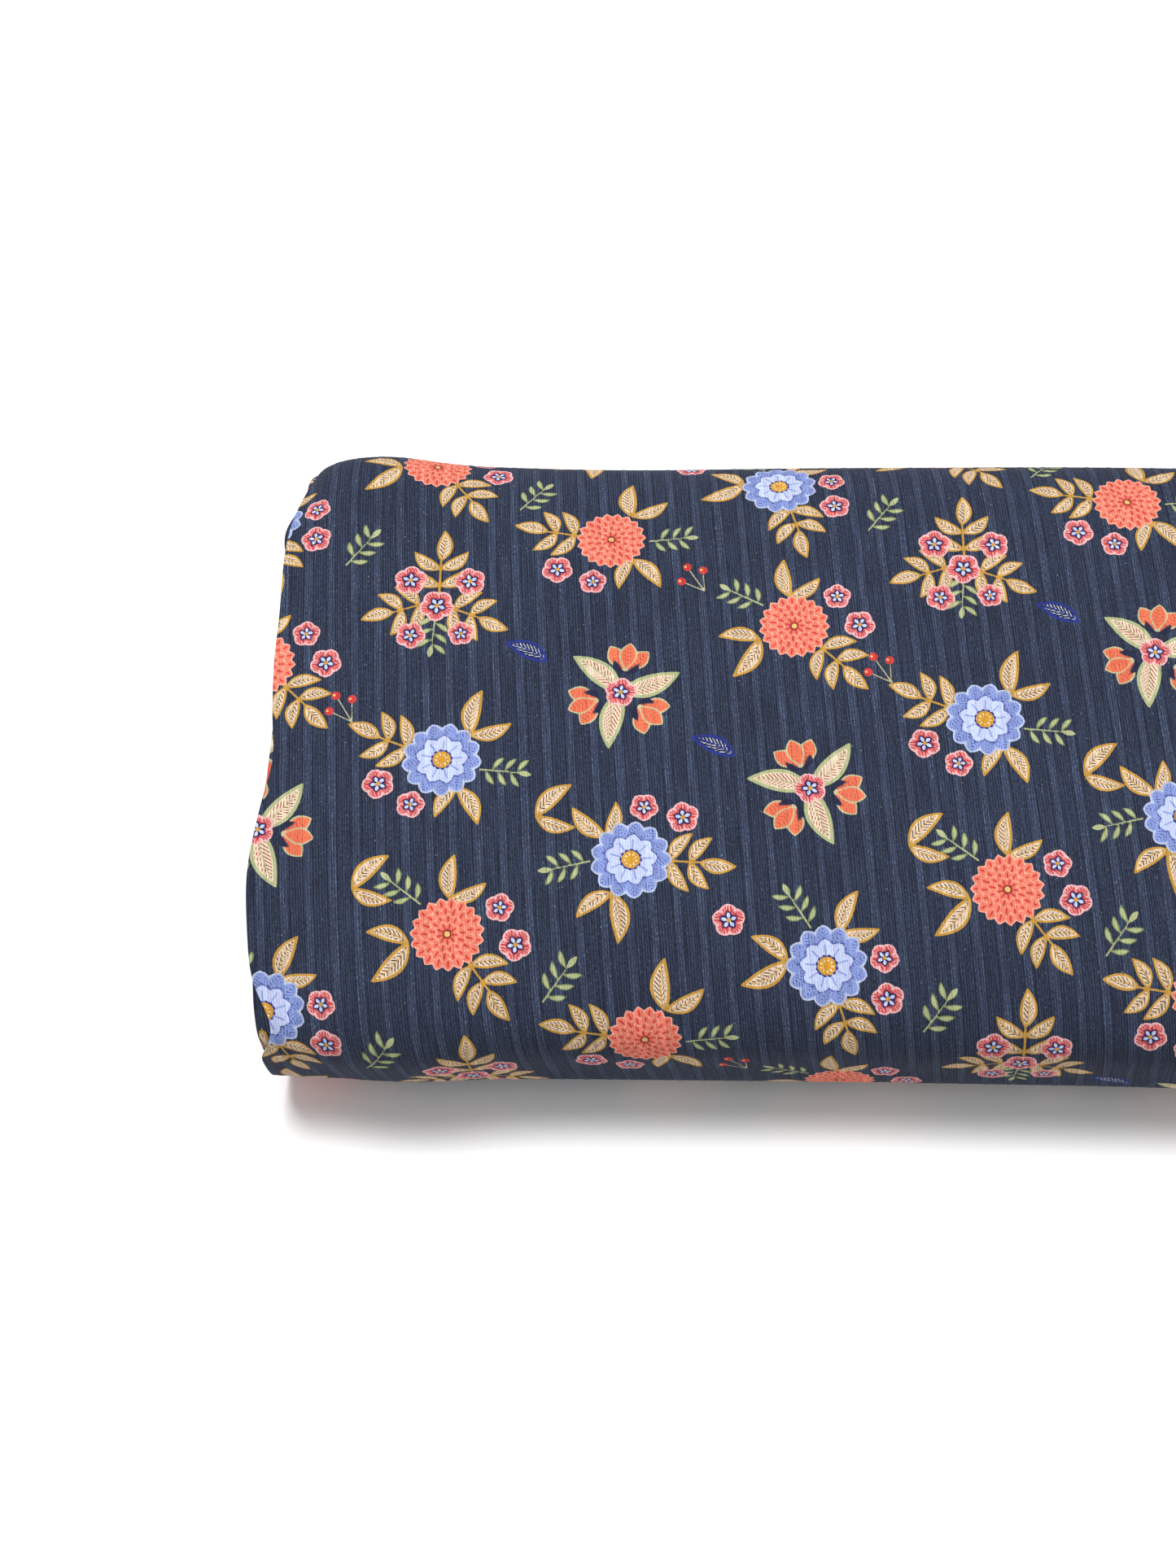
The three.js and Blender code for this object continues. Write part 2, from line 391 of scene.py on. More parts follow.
def paint_print():
    for column in range(3):
        for row in range(3):
            s, t = column * STEP, (row + column / 3) * STEP
            turn = BUNCH_TURNS[column][row]
            cosine, sine = math.cos(math.radians(turn)), math.sin(math.radians(turn))
            for motif, x, y, motif_turn, size in BUNCHES[column][row]:
                across, along = x * cosine - y * sine, x * sine + y * cosine
                place_motif(motif, s + across, t + along, turn + motif_turn, size)
            filler, filler_turn = FILLERS[(column * 3 + row) % len(FILLERS)]
            place_motif(filler, s + GAP[0] * STEP, t + GAP[1] * STEP, filler_turn, 0.95)


# ------------------------------------------------------------------------------------------------
# The winding: the cloth's path round the board, in millimetres. An arc is a distance along the
# outside outline from the middle of the top, positive towards the far side, and it grows by one
# circumference with each turn. A level is 0 at the board's pocket and 1 at the outside.

RIB_PITCH = 9.3
RIB_LEAN = math.radians(5.4)       # between the bolt's cross-section and the cloth's ribs
PLY = 0.48
PLY_GAP = 0.06
DOUBLED = 2 * PLY + PLY_GAP
POCKET_CLEARANCE = 0.4
BOARD_CORNER = 3.0
TOP_FLAT, UNDERSIDE_FLAT, SIDE_FLAT = 12.0, 60.0, 4.0
UPPER_ROUNDNESS, LOWER_ROUNDNESS = 3.2, 3.4
FREE_END_ROOT, FREE_END_EDGE = 35, -62      # degrees, the outside's normal above the far horizontal
INNER_TURNS = 21
UNDER_LEVEL = 0.954                # the outside of the turn below the last one
FIRST_LEVEL = 0.056                # the outside of the first turn
SETTLE = 70.0                      # mm in which the last turn comes level, past the free end's edge
HIDDEN_LAP = 25.0                  # mm of the last turn that lie under the free end's root
SELVEDGE = 8.0                     # mm of unprinted cloth along each selvedge

outside_low, outside_high = (np.array(corner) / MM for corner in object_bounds())
board_high = np.array(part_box("board_sleeve")[1]) / MM
MIDDLE = (outside_low[2] + outside_high[2]) / 2
OUTSIDE = np.array([outside_high[1], outside_high[2] - MIDDLE])
POCKET = np.array([board_high[1], board_high[2] - MIDDLE]) + POCKET_CLEARANCE
LEFT, RIGHT = outside_low[0], outside_high[0]


def quarter(half, flat, roundness, angles):
    """A rounded quarter from the side to the top, by the angle of its normal."""
    span = half - flat
    turn = np.arctan((np.tan(angles) * span[1] / span[0]) ** (1 / (2 - 2 / roundness)))
    return flat + span * np.stack([np.cos(turn), np.sin(turn)], 1) ** (2 / roundness)


def outline(half, upper_flat, lower_flat, upper_roundness, lower_roundness, steps=240):
    """The closed outline from the middle of the top, over the far side and back."""
    share = (1 - np.cos(np.linspace(0, np.pi, steps))) / 2
    angles = np.clip(share * np.pi / 2, 1e-6, np.pi / 2 - 1e-6)
    upper = quarter(half, upper_flat, upper_roundness, angles)
    lower = quarter(half, lower_flat, lower_roundness, angles)
    top = np.array([[0.0, half[1]]])
    return np.vstack([
        top, upper[::-1], lower * (1, -1), lower[::-1] * (-1, -1), upper * (-1, 1), top,
    ])


outside_outline = outline(
    OUTSIDE, np.array([TOP_FLAT, SIDE_FLAT]), np.array([UNDERSIDE_FLAT, SIDE_FLAT]),
    UPPER_ROUNDNESS, LOWER_ROUNDNESS,
)
pocket_outline = outline(POCKET, POCKET - BOARD_CORNER, POCKET - BOARD_CORNER, 2, 2)
outline_arc = np.r_[0, np.cumsum(np.hypot(*np.diff(outside_outline, axis=0).T))]
CIRCUMFERENCE = outline_arc[-1]


def arc_of(point):
    """The arc of the outline's place nearest to a point."""
    return outline_arc[np.argmin(np.hypot(*(outside_outline - point).T))]


def side_point(angle):
    """The outline's point on the far side, by the angle of its normal."""
    flat = np.array([TOP_FLAT if angle > 0 else UNDERSIDE_FLAT, SIDE_FLAT])
    roundness = UPPER_ROUNDNESS if angle > 0 else LOWER_ROUNDNESS
    point = quarter(OUTSIDE, flat, roundness, np.radians([abs(angle)]))[0]
    return point * (1, 1 if angle > 0 else -1)


ROOT_ARC = arc_of(side_point(FREE_END_ROOT))
EDGE_ARC = arc_of(side_point(FREE_END_EDGE))
LAST_START = ROOT_ARC - CIRCUMFERENCE - HIDDEN_LAP
FIRST_START = EDGE_ARC - (INNER_TURNS + 1) * CIRCUMFERENCE


def smooth(value):
    value = np.clip(value, 0, 1)
    return value * value * (3 - 2 * value)


def level_at(arc):
    """The level of the doubled cloth's outside."""
    lapped = EDGE_ARC - CIRCUMFERENCE
    inner = FIRST_LEVEL + (UNDER_LEVEL - FIRST_LEVEL) * (arc - FIRST_START) / (lapped - FIRST_START)
    return inner + (1 - inner) * smooth((arc - lapped) / SETTLE)


def path(arc):
    """The doubled cloth's outside at each arc: its (y, z) from the bolt's middle and its outward normal."""
    def place(where):
        round_arc = where % CIRCUMFERENCE
        level = level_at(where)
        points = [
            (1 - level) * np.interp(round_arc, outline_arc, pocket_outline[:, axis])
            + level * np.interp(round_arc, outline_arc, outside_outline[:, axis])
            for axis in (0, 1)
        ]
        return np.stack(points, 1)

    ahead, behind = place(arc + 0.4), place(arc - 0.4)
    along = ahead - behind
    along /= np.hypot(*along.T)[:, None]
    return place(arc), np.stack([-along[:, 1], along[:, 0]], 1)


def wrapped(arc, centre):
    """The distance round the bolt from centre to arc."""
    return (arc - centre + CIRCUMFERENCE / 2) % CIRCUMFERENCE - CIRCUMFERENCE / 2


# Where the cloth stands out of its even outline, or dips: x, arc, how far, and its half-widths.
SWELLS = (
    (-248, 118, 4.0, 24, 30), (-286, 118, -8.0, 12, 34), (-150, 112, -2.0, 60, 34), (60, 112, 3.0, 110, 34),
    (-228, -146, 4.6, 34, 34), (-264, -106, -3.4, 8, 20), (160, -150, 5.0, 64, 36), (-60, -132, -1.0, 60, 30),
    (-150, 20, -0.7, 80, 50), (60, -30, 0.5, 80, 60), (225, -30, -0.6, 60, 60),
)
# How far the last turn's folded edge, and the edges of those under it, stand out at the left end:
# arc, how far, half-width.
EDGE_SWELLS = (
    (76, 3.6, 30), (25, 1.6, 18), (-20, -1.6, 13), (-66, 3.2, 22), (-128, -8.0, 15), (152, -11.0, 28),
)
UNDER_EDGE_SWELLS = ((84, 6.6, 20), (124, 3.0, 14), (-45, 1.8, 25), (-8, 0.8, 14), (-120, -1.2, 26))


def swelling(x, arc, level):
    """How far the cloth stands out along its normal: nowhere where it lies on the table."""
    out = 0.16 * np.sin(x / 37 + 1.3 * np.sin(arc / 60)) * np.sin(arc / 41 + 0.6) * level
    for swell_x, swell_arc, amount, half_x, half_arc in SWELLS:
        out = out + amount * level * np.exp(
            -((x - swell_x) / half_x) ** 2 - (wrapped(arc, swell_arc) / half_arc) ** 2
        )
    off_table = smooth((np.abs(wrapped(arc, CIRCUMFERENCE / 2)) - 70) / 60)
    return out * off_table


def left_edge(arc):
    """How far the fold stands out of the bolt's even left end, by arc."""
    turn = np.floor((arc - EDGE_ARC) / CIRCUMFERENCE)
    last = smooth((arc - LAST_START - HIDDEN_LAP) / 40)
    under = 0.7 * np.sin(arc / 53 + turn * 2.4) + 0.5 * np.sin(arc / 21 + turn * 1.1) - 1.2
    under = under - 2.0 * (1 - level_at(arc))
    top = 0.25 * np.sin(arc / 17) + 0.2 * np.sin(arc / 7.3 + 1)
    for centre, amount, width in EDGE_SWELLS:
        top = top + amount * np.exp(-(wrapped(arc, centre) / width) ** 2)
    outer = smooth((level_at(arc) - 0.8) / 0.15)
    for centre, amount, width in UNDER_EDGE_SWELLS:
        under = under + amount * np.exp(-(wrapped(arc, centre) / width) ** 2) * outer
    return -(under * (1 - last) + top * last)


def right_edge(arc, ply):
    """How far a ply's selvedge stands out of the bolt's even right end, by arc."""
    turn = np.floor((arc - EDGE_ARC) / CIRCUMFERENCE)
    slow, quick = np.sin(arc / 61 + turn * 1.9 + ply * 2.5), np.sin(arc / 19 + turn + ply)
    return 0.8 * slow + 0.5 * quick - 1.2 - 0.5 * ply


def flat_length(arc):
    """The cloth's length up to each arc, measured so that it equals the arc on the last turn."""
    dense = np.arange(FIRST_START - 2, EDGE_ARC + 2, 2.0)
    points = path(dense)[0]
    length = np.r_[0, np.cumsum(np.hypot(*np.diff(points, axis=0).T))]
    start = EDGE_ARC - CIRCUMFERENCE + SETTLE
    return np.interp(arc, dense, length - np.interp(start, dense, length) + start)


def profile(fine, coarse, both):
    """The doubled cloth's closed section: across X and down from its outside. Each point has its
    x, its depth, how the flat cloth runs there (1 upper ply, -1 lower ply, 0 the fold, with the
    turn of the fold), whether it is the print side, and the strip of the section that it is on.
    The columns on its underside are fine too if both is true."""
    radius = DOUBLED / 2
    fold = LEFT + radius
    outer = np.r_[np.arange(RIGHT, fold, -fine), fold] if fine else coarse_columns(fold, coarse)
    lower = coarse_columns(fold, coarse)[::-1]
    under = outer[::-1] if both else lower
    turns = np.radians(np.arange(22.5, 180, 22.5))
    inside = PLY_GAP / 2
    parts = [
        (outer, np.zeros(len(outer)), 1, 1),
        (fold - radius * np.sin(turns), radius - radius * np.cos(turns), 0, 1),
        (under, np.full(len(under), DOUBLED), -1, 1),
        (lower[::-1], np.full(len(lower), DOUBLED - PLY), -1, 0),
        (np.array([fold - inside]), np.array([radius]), 0, 0),
        (lower, np.full(len(lower), PLY), 1, 0),
    ]
    x = np.concatenate([part[0] for part in parts])
    depth = np.concatenate([part[1] for part in parts])
    run = np.concatenate([np.full(len(part[0]), part[2]) for part in parts])
    printed = np.concatenate([np.full(len(part[0]), part[3]) for part in parts])
    strip = np.concatenate([np.full(len(part[0]), index) for index, part in enumerate(parts)])
    return x, depth, run, printed, strip, turns


def coarse_columns(fold, spacing):
    """Columns that close up towards both edges, from the right."""
    close = np.array([0, 1, 2.5, 5, 9, 15, 24])
    middle = np.arange(RIGHT - 24 - spacing, fold + 24 + spacing / 2, -spacing)
    return np.concatenate([RIGHT - close, middle, fold + close[::-1]])


def cloth_grid(arcs, fine, coarse, both):
    """Every vertex of a stretch of the doubled cloth: places, flat places, and what each is."""
    x, depth, run, printed, strip, turns = profile(fine, coarse, both)
    points, normals = path(arcs)
    level = level_at(arcs)[:, None]
    length = flat_length(arcs)[:, None]
    near_left = smooth(1 - (x - LEFT) / 30)[None]
    near_right = smooth(1 - (RIGHT - x) / 30)[None]
    lower_ply = ((run < 0) | ((run == 0) & (strip > 1))).astype(float)[None]
    edge = left_edge(arcs)[:, None]
    ends = [right_edge(arcs, ply)[:, None] for ply in (0, 1)]
    end = ends[0] * (1 - lower_ply) + ends[1] * lower_ply
    place_x = x[None] + near_left * edge + near_right * end
    fold = LEFT + edge + DOUBLED / 2
    fold_run = np.pi * DOUBLED / 2
    turn = np.zeros_like(x)
    turn[strip == 1] = turns
    turn[strip == 4] = np.pi / 2
    below = 2 * fold - fold_run - place_x
    across = np.where(run > 0, place_x, np.where(run < 0, below, fold - turn * DOUBLED / 2))
    s = across * math.cos(RIB_LEAN) + length * math.sin(RIB_LEAN)
    t = length * math.cos(RIB_LEAN) - across * math.sin(RIB_LEAN)
    relief = rib_relief(s) * (printed * (strip == 0))[None]
    out = swelling(place_x, arcs[:, None], level) - depth[None] + relief
    place = np.empty(out.shape + (3,), np.float32)
    place[..., 0] = place_x
    place[..., 1] = points[:, 0, None] + out * normals[:, 0, None]
    place[..., 2] = points[:, 1, None] + out * normals[:, 1, None] + MIDDLE
    place[..., 2] = np.maximum(place[..., 2], 0.02)
    from_selvedge = np.where(lower_ply > 0, RIGHT + ends[1] - place_x, RIGHT + ends[0] - place_x)
    return place, s, t, printed, strip, from_selvedge


def rib_relief(s):
    """Height of the ribs: a raised band between two narrow grooves."""
    phase = (s / RIB_PITCH) % 1 - 0.5
    band = 0.09 * np.exp(-(phase / 0.13) ** 2)
    grooves = -0.07 * np.exp(-((np.abs(phase) - 0.2) / 0.05) ** 2)
    return band + grooves


def sample_repeat(layer, s, t):
    """The repeat's ink at flat places: distance inside and colour."""
    column, row = (s % REPEAT) / DOT, (t % REPEAT) / DOT
    left, low = np.floor(column).astype(int), np.floor(row).astype(int)
    share_x, share_y = (column - left)[..., None], (row - low)[..., None]
    both = np.concatenate([ink_distance[layer][..., None], ink_colour[layer] / 255], 2)
    left, low = left % DOTS, low % DOTS
    right, high = (left + 1) % DOTS, (low + 1) % DOTS
    bottom = both[low, left] * (1 - share_x) + both[low, right] * share_x
    upper = both[high, left] * (1 - share_x) + both[high, right] * share_x
    return bottom * (1 - share_y) + upper * share_y


# Where each strip of the section lies across the bake map: the outside, the fold, the underside and
# then the three wrong sides. The second list is for a piece whose underside is seen too.
MAP_STRIPS = ((0.0, 0.80), (0.80, 0.83), (0.84, 0.89), (0.90, 0.94), (0.94, 0.95), (0.95, 0.99))
EVEN_STRIPS = ((0.0, 0.44), (0.44, 0.46), (0.46, 0.90), (0.91, 0.94), (0.94, 0.95), (0.95, 0.99))
BRIDGE = 0.004      # width of the faces that join a strip to the next one


def make_cloth(name, arcs, fine, coarse, material, both=False):
    """One closed piece of the doubled cloth, from the first arc to the last."""
    place, s, t, printed, strip, from_selvedge = cloth_grid(arcs, fine, coarse, both)
    rows, columns = s.shape
    mesh = bpy.data.meshes.new(name)
    index = np.arange(rows * columns).reshape(rows, columns)
    following = np.roll(index, -1, 1)
    quads = np.stack([index[:-1], index[1:], following[1:], following[:-1]], -1).reshape(-1, 4)
    caps = [index[0], index[-1][::-1]]
    corners = np.concatenate([quads.ravel(), *caps])
    starts = np.concatenate([np.arange(len(quads)) * 4, len(quads) * 4 + np.array([0, columns])])
    mesh.vertices.add(rows * columns)
    mesh.vertices.foreach_set("co", (place * MM).ravel())
    mesh.loops.add(len(corners))
    mesh.loops.foreach_set("vertex_index", corners.astype(np.int32))
    mesh.polygons.add(len(starts))
    mesh.polygons.foreach_set("loop_start", starts.astype(np.int32))
    flat = np.zeros(len(starts), bool)
    flat[-2:] = True
    mesh.update(calc_edges=True)
    mesh.polygons.foreach_set("use_smooth", ~flat)
    side = np.broadcast_to(printed[None], s.shape)
    cloth = mesh.attributes.new("cloth", "FLOAT_VECTOR", "POINT")
    cloth.data.foreach_set("vector", np.stack([s, t, side], -1).astype(np.float32).ravel())
    selvedge = mesh.attributes.new("from_selvedge", "FLOAT", "POINT")
    selvedge.data.foreach_set("value", from_selvedge.astype(np.float32).ravel())
    for layer in range(LAYERS):
        ink = sample_repeat(layer, s, t)
        inside = np.minimum(ink[..., 0], (from_selvedge - SELVEDGE))
        inside = np.where(side > 0, inside, -REACH)
        share = np.clip(inside / REACH, -1, 1) * 0.5 + 0.5
        values = np.concatenate([ink[..., 1:], share[..., None]], -1)
        attribute = mesh.color_attributes.new(f"ink{layer}", "BYTE_COLOR", "POINT")
        attribute.data.foreach_set("color_srgb", np.clip(values, 0, 1).astype(np.float32).ravel())
    bake_map(mesh, place, strip, arcs, EVEN_STRIPS if both else MAP_STRIPS)
    mesh.materials.append(material)
    piece = bpy.data.objects.new(name, mesh)
    bpy.context.scene.collection.objects.link(piece)
    return piece


def bake_map(mesh, place, strip, arcs, strips):
    """A flat map of the cloth's outside, its fold, its underside and its wrong sides."""
    rows, columns = place.shape[:2]
    x = place[rows // 2, :, 0]
    left = np.empty(columns)
    right = np.empty(columns)
    for index, (low, high) in enumerate(strips):
        members = np.flatnonzero(strip == index)
        run = np.r_[0, np.cumsum(np.abs(np.diff(x[members])) + 0.05)]
        position = low + (high - low) * run / max(run[-1], 1e-6)
        left[members] = position
        right[members[:-1]] = position[1:]
        right[members[-1]] = high + (BRIDGE if index not in (2, 5) else 0)
    along = 0.01 + 0.98 * (arcs - arcs[0]) / (arcs[-1] - arcs[0])
    quad_u = np.stack([left, left, right, right], -1)[None].repeat(rows - 1, 0)
    quad_v = np.stack([along[:-1], along[1:], along[1:], along[:-1]], -1)[:, None].repeat(columns, 1)
    cap_u = np.concatenate([x - LEFT, x[::-1] - LEFT]) / (RIGHT - LEFT) * 0.9
    cap_v = np.concatenate([np.zeros(columns), np.ones(columns)])
    u = np.concatenate([quad_u.ravel(), cap_u])
    v = np.concatenate([quad_v.ravel(), cap_v])
    layer = mesh.uv_layers.new(name="OFBake")
    layer.data.foreach_set("uv", np.stack([u, v], -1).astype(np.float32).ravel())


# ------------------------------------------------------------------------------------------------
# Materials.

class Graph:
    """A material's nodes. Each call takes numbers or other nodes' outputs and gives an output."""

    def __init__(self, name, roughness, sheen=0.0):
        self.material = bpy.data.materials.new(name)
        self.material.use_nodes = True
        self.nodes = self.material.node_tree.nodes
        self.links = self.material.node_tree.links
        self.surface = self.nodes["Principled BSDF"]
        self.surface.inputs["Roughness"].default_value = roughness
        self.surface.inputs["Sheen Weight"].default_value = sheen
        self.surface.inputs["Specular IOR Level"].default_value = 0.12

    def node(self, kind, settings, inputs):
        made = self.nodes.new(kind)
        for key, value in settings.items():
            setattr(made, key, value)
        for key, value in inputs.items():
            if isinstance(value, bpy.types.NodeSocket):
                self.links.new(value, made.inputs[key])
            elif value is not None:
                made.inputs[key].default_value = value
        return made

    def math(self, operation, *values):
        settings = {"operation": operation}
        return self.node("ShaderNodeMath", settings, dict(enumerate(values))).outputs[0]

    def attribute(self, name):
        return self.node("ShaderNodeAttribute", {"attribute_name": name}, {})

    def point(self, x, y, z=0.0):
        return self.node("ShaderNodeCombineXYZ", {}, {0: x, 1: y, 2: z}).outputs[0]

    def noise(self, place, scale=1.0, detail=2.0, roughness=0.5):
        inputs = {"Vector": place, "Scale": scale, "Detail": detail, "Roughness": roughness}
        return self.node("ShaderNodeTexNoise", {}, inputs).outputs["Fac"]

    def cloth_noise(self, s, t, across, along, detail=2.0, roughness=0.5, slice_z=0.0):
        """Noise on the flat cloth, at one scale across the ribs and another along them."""
        place = self.point(self.math("MULTIPLY", s, across), self.math("MULTIPLY", t, along), slice_z)
        return self.noise(place, 1.0, detail, roughness)

    def ramp(self, value, low, high, to_low=0.0, to_high=1.0):
        settings = {"interpolation_type": "SMOOTHSTEP"}
        inputs = {"Value": value, "From Min": low, "From Max": high, "To Min": to_low, "To Max": to_high}
        return self.node("ShaderNodeMapRange", settings, inputs).outputs[0]

    def mix(self, share, first, second, blend="MIX"):
        made = self.node("ShaderNodeMix", {"data_type": "RGBA", "blend_type": blend}, {0: share})
        for slot, value in ((6, first), (7, second)):
            if isinstance(value, bpy.types.NodeSocket):
                self.links.new(value, made.inputs[slot])
            else:
                made.inputs[slot].default_value = (*value, 1)
        return made.outputs[2]

    def bump(self, height, distance, strength=1.0):
        inputs = {"Height": height, "Distance": distance, "Strength": strength}
        normal = self.node("ShaderNodeBump", {}, inputs).outputs[0]
        self.links.new(normal, self.surface.inputs["Normal"])

    def colour(self, value):
        self.links.new(value, self.surface.inputs["Base Color"])


def srgb(*colour):
    """A colour given as on a screen, 0 to 255, as the linear values that nodes take."""
    return tuple(
        value / 255 / 12.92 if value <= 10 else ((value / 255 + 0.055) / 1.055) ** 2.4
        for value in colour
    )


def cloth_material():
    graph = Graph("printed_ribbed_cloth", 0.9, 0.02)
    place = graph.attribute("cloth").outputs["Vector"]
    split = graph.node("ShaderNodeSeparateXYZ", {}, {0: place}).outputs
    s, t, printed = split[0], split[1], split[2]

    # The ribs: a pale band between two dark grooves every 9.3 mm, over fine ribs 1 mm apart.
    drift = graph.cloth_noise(s, t, 0.11, 0.006, 1.0)
    wander = graph.math("MULTIPLY_ADD", drift, 1.6, -0.8)
    phase = graph.math("FRACT", graph.math("DIVIDE", graph.math("ADD", s, wander), RIB_PITCH))
    from_band = graph.math("ABSOLUTE", graph.math("SUBTRACT", phase, 0.5))
    band = graph.ramp(from_band, 0.2, 0.14)
    groove = graph.ramp(graph.math("ABSOLUTE", graph.math("SUBTRACT", from_band, 0.205)), 0.045, 0.01)
    fine = graph.math("PINGPONG", graph.math("ADD", s, wander), 0.5)
    fine_rib = graph.ramp(fine, 0.06, 0.4)

    # Streaks along the ribs, and the weave's single threads.
    streak = graph.cloth_noise(s, t, 1.15, 0.055, 3.0, 0.6)
    thread = graph.cloth_noise(s, t, 2.1, 0.75, 2.0, 0.6)
    fleck = graph.cloth_noise(s, t, 1.9, 0.9, 1.0, slice_z=7.0)
    patch = graph.cloth_noise(s, t, 0.018, 0.012)

    dark, middle, pale = srgb(28, 32, 46), srgb(51, 59, 79), srgb(96, 111, 138)
    light = graph.math("MULTIPLY_ADD", band, 0.17, 0.27)
    shares = (
        (streak, 0.9, -0.45), (thread, 1.3, -0.65), (fine_rib, 0.3, -0.18), (groove, -0.2, 0.0),
        (patch, 0.2, -0.1),
    )
    for value, amount, offset in shares:
        light = graph.math("ADD", light, graph.math("MULTIPLY_ADD", value, amount, offset))
    ground = graph.mix(graph.ramp(light, 0.0, 0.55), dark, middle)
    ground = graph.mix(graph.ramp(light, 0.5, 1.05), ground, pale)
    ground = graph.mix(graph.ramp(fleck, 0.74, 0.8, 0.0, 0.75), ground, srgb(170, 178, 190))

    # The inks, each with its own sharp edge, a little ragged where it crosses the ribs.
    ragged = graph.math("MULTIPLY_ADD", thread, 0.06, -0.03)
    printed_colour = ground
    for layer in range(LAYERS):
        ink = graph.attribute(f"ink{layer}")
        inside = graph.math("ADD", ink.outputs["Alpha"], ragged)
        cover = graph.ramp(inside, 0.475, 0.53)
        printed_colour = graph.mix(cover, printed_colour, ink.outputs["Color"])
    shade = graph.math("MULTIPLY_ADD", light, 0.5, 0.64)
    shade = graph.node("ShaderNodeCombineColor", {}, {0: shade, 1: shade, 2: shade}).outputs[0]
    inked = graph.mix(1.0, printed_colour, shade, "MULTIPLY")
    any_ink = None
    for layer in range(LAYERS):
        cover = graph.ramp(graph.attribute(f"ink{layer}").outputs["Alpha"], 0.475, 0.53)
        any_ink = cover if any_ink is None else graph.math("MAXIMUM", any_ink, cover)
    face = graph.mix(any_ink, printed_colour, inked)

    # The wrong side is paler, and the selvedge is left unprinted.
    wrong = graph.mix(graph.ramp(light, 0.1, 0.9), srgb(96, 102, 122), srgb(142, 150, 168))
    unprinted = graph.mix(graph.ramp(light, 0.0, 0.9), srgb(120, 128, 146), srgb(196, 200, 208))
    selvedge = graph.ramp(graph.attribute("from_selvedge").outputs["Fac"], SELVEDGE + 0.3, SELVEDGE - 0.3)
    face = graph.mix(selvedge, face, unprinted)
    graph.colour(graph.mix(printed, wrong, face))

    height = graph.math("MULTIPLY_ADD", fine_rib, 0.5, graph.math("MULTIPLY", thread, 0.5))
    graph.bump(height, 0.00022, 0.7)
    return graph.material


def card_material():
    graph = Graph("kraft_card", 0.8)
    place = graph.node("ShaderNodeTexCoord", {}, {}).outputs["Object"]
    split = graph.node("ShaderNodeSeparateXYZ", {}, {0: place}).outputs
    along, across = graph.math("MULTIPLY", split[0], 260), graph.math("MULTIPLY", split[1], 1500)
    fibres = graph.noise(graph.point(along, across, graph.math("MULTIPLY", split[2], 1500)), 1.0, 4.0, 0.65)
    cloud = graph.noise(place, 28.0, 4.0, 0.6)
    scuff = graph.noise(place, 75.0, 5.0, 0.7)
    speck = graph.noise(place, 900.0, 1.0)
    brown = graph.mix(graph.ramp(fibres, 0.3, 0.72), srgb(138, 106, 70), srgb(190, 158, 116))
    brown = graph.mix(graph.ramp(cloud, 0.35, 0.7, 0.0, 0.55), brown, srgb(164, 124, 82))
    brown = graph.mix(graph.ramp(scuff, 0.56, 0.7, 0.0, 0.4), brown, srgb(208, 184, 146))
    brown = graph.mix(graph.ramp(speck, 0.66, 0.74, 0.0, 0.7), brown, srgb(104, 76, 52))
    wear = graph.node("ShaderNodeNewGeometry", {}, {}).outputs["Pointiness"]
    brown = graph.mix(graph.ramp(wear, 0.53, 0.62, 0.0, 0.6), brown, srgb(214, 190, 152))
    graph.colour(brown)
    graph.bump(graph.math("ADD", fibres, graph.math("MULTIPLY", cloud, 0.6)), 0.0002, 0.5)
    return graph.material


# ------------------------------------------------------------------------------------------------
# The pieces.

FINE = 0.55             # mm between the columns of the last turn
HIDDEN_COLUMNS = 14.0   # mm between its columns where they aren't seen
INNER_COLUMNS = 36.0    # mm between the columns of the turns below
INNER_ROWS = 3.6        # mm between their rows
SOFT_ROOT = 14.0        # mm of the free end past its root; the point there is found but not used


def seen_rows():
    """Rows of the last turn: close on the top and sides, wider on the underside and under the free end."""
    near_side = -CIRCUMFERENCE / 2 + 60
    wide = np.arange(LAST_START, near_side, 1.1)
    return np.concatenate([wide, np.arange(near_side, ROOT_ARC, FINE), [ROOT_ARC]])


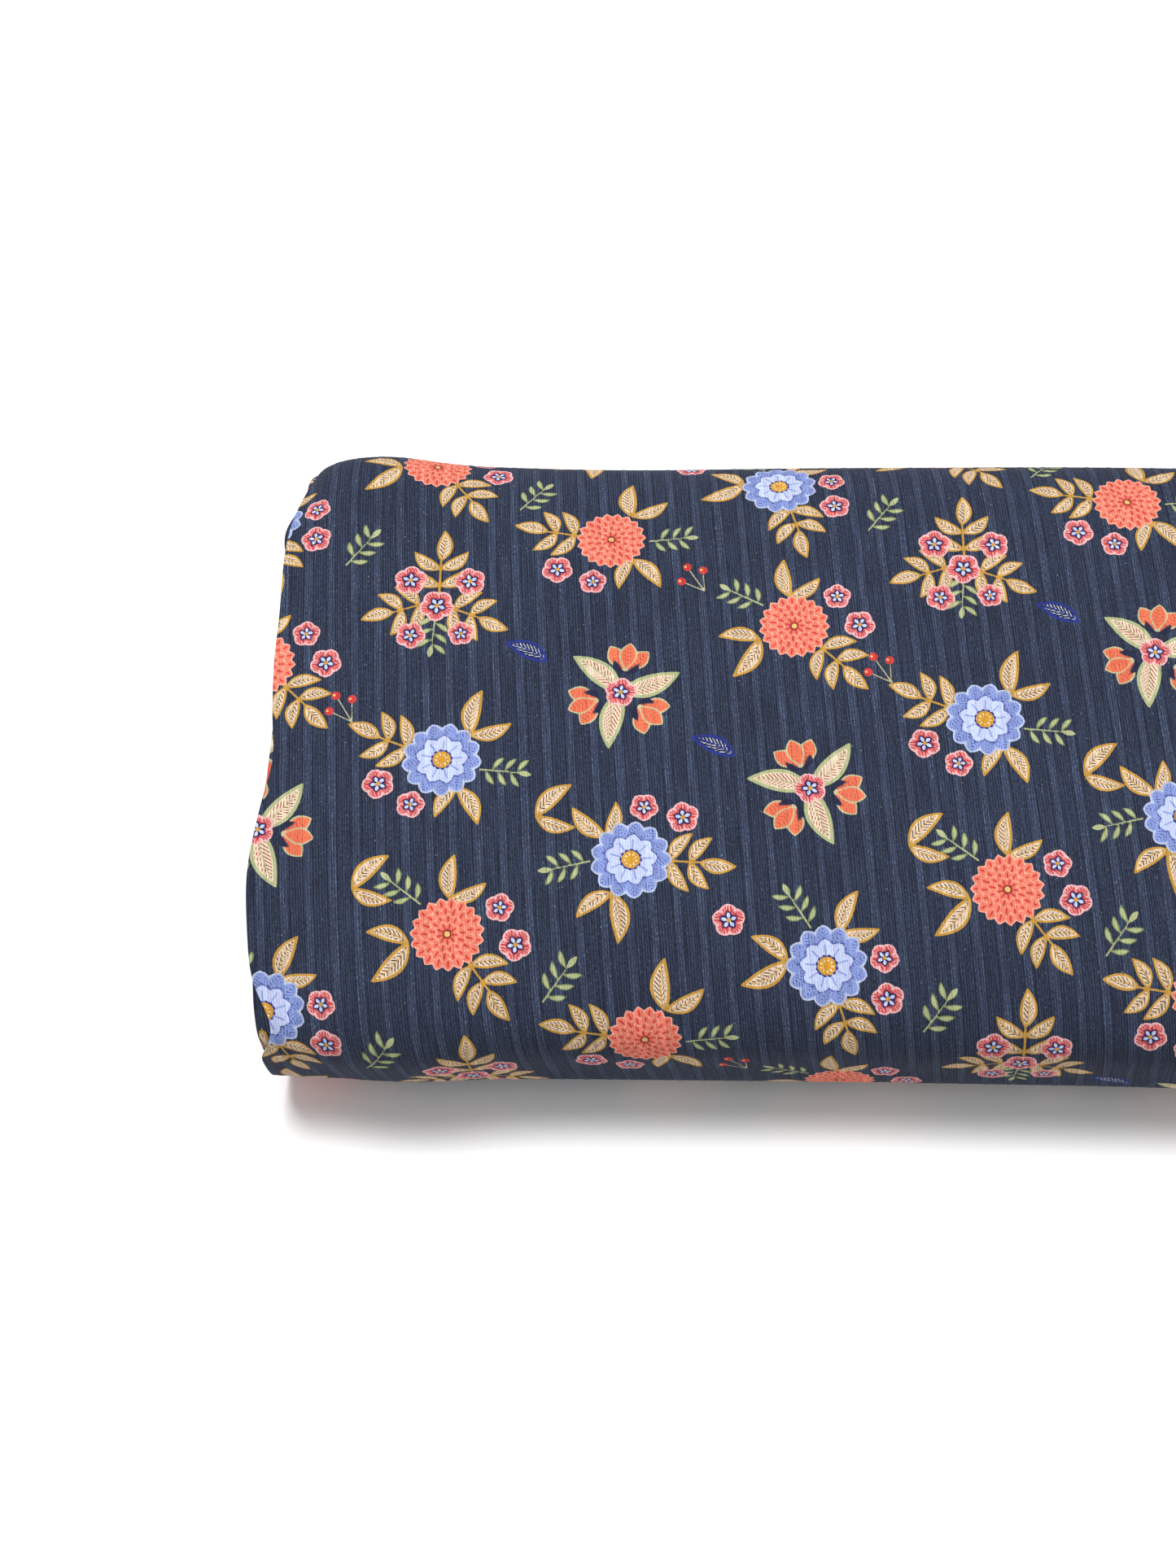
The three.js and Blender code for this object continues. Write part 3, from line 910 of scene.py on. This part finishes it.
def make_winding():
    material = cloth_material()
    pieces = {}
    last = make_cloth("last_turn_cloth", seen_rows(), FINE, HIDDEN_COLUMNS, material)
    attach(last, "wound_cloth")
    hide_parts("last_turn")
    pieces["last_turn_cloth"] = (last, LAST_START, ROOT_ARC)

    rows = np.append(np.arange(ROOT_ARC, EDGE_ARC, FINE), EDGE_ARC)
    free = make_cloth("free_end_cloth", rows, FINE, HIDDEN_COLUMNS, material, both=True)
    root, edge = path(np.array([ROOT_ARC, ROOT_ARC + SOFT_ROOT]))[0]
    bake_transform(free)
    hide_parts("free_end")
    pieces["free_end_cloth"] = (free, ROOT_ARC, EDGE_ARC)

    thirds = np.linspace(FIRST_START, LAST_START, 4)
    for index, group in enumerate(("inner_turns", "middle_turns", "outer_turns")):
        start_arc, end_arc = thirds[index], thirds[index + 1]
        rows = np.linspace(start_arc, end_arc, int((end_arc - start_arc) / INNER_ROWS))
        turns = make_cloth(f"{group}_cloth", rows, None, INNER_COLUMNS, material)
        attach(turns, "wound_cloth")
        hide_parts(group)
        pieces[f"{group}_cloth"] = (turns, start_arc, end_arc)

    for name, (piece, start_arc, end_arc) in pieces.items():
        start_length, end_length = flat_length(np.array([start_arc, end_arc]))
    return pieces


def finish_card():
    card = card_material()
    for name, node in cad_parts.items():
        if name.startswith(("board", "left", "right")):
            node.data.materials.clear()
            node.data.materials.append(card)


# ------------------------------------------------------------------------------------------------
# The floor and the light.

FLOOR_REACH = 15.0
FLOOR_GAP = 0.0004      # below the bolt's underside
WORLD_LIGHT = 0.48
LAMPS = (("key", (-0.36, 0.4, 2.0), 0.6, 40.0), ("fill", (0.8, 0.3, 1.9), 1.6, 9.0))


def make_studio():
    mesh = bpy.data.meshes.new("floor")
    corners = [(x * FLOOR_REACH, y * FLOOR_REACH, 0) for x, y in ((-1, -1), (1, -1), (1, 1), (-1, 1))]
    mesh.from_pydata(corners, [], [(0, 1, 2, 3)])
    floor = bpy.data.objects.new("floor", mesh)
    floor.location.z = -FLOOR_GAP
    bpy.context.scene.collection.objects.link(floor)
    graph = Graph("pale_floor", 0.9)
    graph.surface.inputs["Base Color"].default_value = (0.9, 0.9, 0.9, 1)
    mesh.materials.append(graph.material)
    floor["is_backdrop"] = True

    world = bpy.data.worlds.new("studio")
    bpy.context.scene.world = world
    world.use_nodes = True
    background = world.node_tree.nodes["Background"]
    background.inputs["Color"].default_value = (1, 1, 1, 1)
    background.inputs["Strength"].default_value = WORLD_LIGHT

    for name, place, size, power in LAMPS:
        lamp = bpy.data.lights.new(name, "AREA")
        lamp.size = size
        lamp.energy = power
        holder = bpy.data.objects.new(name, lamp)
        bpy.context.scene.collection.objects.link(holder)
        holder.location = place
        holder.rotation_euler = (Vector((0, 0, 0.04)) - Vector(place)).to_track_quat("-Z", "Y").to_euler()
    bpy.context.scene.view_settings.view_transform = "Standard"


paint_print()
make_winding()
finish_card()
make_studio()
